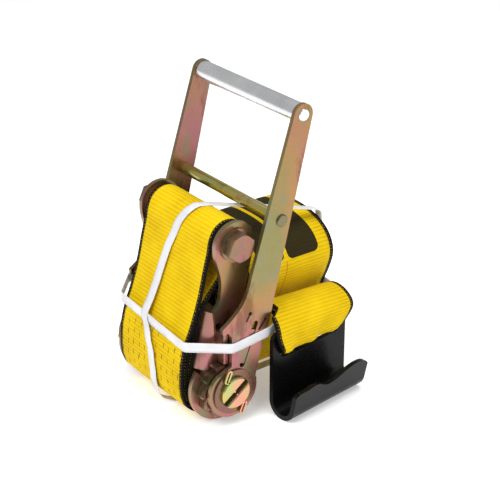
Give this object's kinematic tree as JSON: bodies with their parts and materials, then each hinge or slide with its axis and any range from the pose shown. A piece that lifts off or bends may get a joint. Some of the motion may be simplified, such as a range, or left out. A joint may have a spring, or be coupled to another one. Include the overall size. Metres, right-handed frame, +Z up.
{
  "type": "ratchet tie down",
  "caption": "Wide yellow-webbing ratchet tie down with long handle buckle and black flat hook, banded as sold.",
  "frame": {"origin": "middle of the mandrel's axis, at mid-width of the buckle", "axes": "+X along the mandrel towards the flat hook's side, +Y back towards the coiled strap, +Z up the buckle"},
  "size_m": [0.1943, 0.1839, 0.2885],
  "materials": {
    "yellow_zinc_steel": "satin",
    "silver_grip": "satin",
    "black_hook": "gloss",
    "yellow_webbing": "matt",
    "white_band": "matt"
  },
  "bodies": {
    "root": {"frame": "yellow_zinc_steel", "anchor_bolt": "yellow_zinc_steel", "anchor_nut": "yellow_zinc_steel", "anchor_washers": "yellow_zinc_steel", "anchor_sleeve": "yellow_zinc_steel", "lock_spring_bridge": "yellow_zinc_steel", "lock_spring": "yellow_zinc_steel", "short_strap": "yellow_webbing", "long_strap_roll": "yellow_webbing", "hook_strap_end": "yellow_webbing", "packing_band_top": "white_band", "packing_band_side": "white_band"},
    "mandrel": {"mandrel_half_upper": "yellow_zinc_steel", "mandrel_half_lower": "yellow_zinc_steel", "ratchet_wheel_right_inner": "yellow_zinc_steel", "ratchet_wheel_right_outer": "yellow_zinc_steel", "ratchet_wheel_left_inner": "yellow_zinc_steel", "ratchet_wheel_left_outer": "yellow_zinc_steel", "mandrel_washers": "yellow_zinc_steel", "cotter_pins": "yellow_zinc_steel"},
    "handle": {"handle_plate_right": "yellow_zinc_steel", "handle_plate_left": "yellow_zinc_steel", "crossbar_tube": "yellow_zinc_steel", "crossbar_rod": "yellow_zinc_steel", "grip_rod": "silver_grip", "drive_spring": "yellow_zinc_steel", "drive_spring_seat": "yellow_zinc_steel"},
    "grip": {"grip_tube": "silver_grip"},
    "drive_pawl": {"drive_pawl": "yellow_zinc_steel"},
    "lock_pawl": {"lock_pawl": "yellow_zinc_steel"},
    "hook": {"flat_hook": "black_hook"}
  },
  "joints": [
    {"name": "handle_swing", "type": "hinge", "parent": "root", "child": "handle", "pos_m": [0, 0, 0], "axis": [-1, 0, 0], "range_deg": [0, 5]},
    {"name": "mandrel_spin", "type": "hinge", "parent": "root", "child": "mandrel", "pos_m": [0, 0, 0], "axis": [-1, 0, 0], "range_deg": [0, 5]},
    {"name": "grip_spin", "type": "hinge", "parent": "handle", "child": "grip", "pos_m": [0, 0.075, 0.2435], "axis": [1, 0, 0], "continuous": true},
    {"name": "drive_pawl_slide", "type": "slide", "parent": "handle", "child": "drive_pawl", "axis": [0, 0.3746, 0.9272], "range_m": [0, 0.006], "stiffness_N_per_m": 1500, "springref_m": -0.004, "deforming": ["drive_spring"]},
    {"name": "lock_pawl_slide", "type": "slide", "parent": "root", "child": "lock_pawl", "axis": [0, 0, 1], "range_m": [0, 0.006], "stiffness_N_per_m": 1500, "springref_m": -0.004, "deforming": ["lock_spring"]},
    {"name": "hook_swing", "type": "hinge", "parent": "root", "child": "hook", "pos_m": [0.0818, 0.037, 0.0445], "axis": [0.1201, -0.9928, 0], "range_deg": [0, 10]}
  ],
  "couplings": [
    {"joint": "mandrel_spin", "follows": "handle_swing", "ratio": 1}
  ]
}
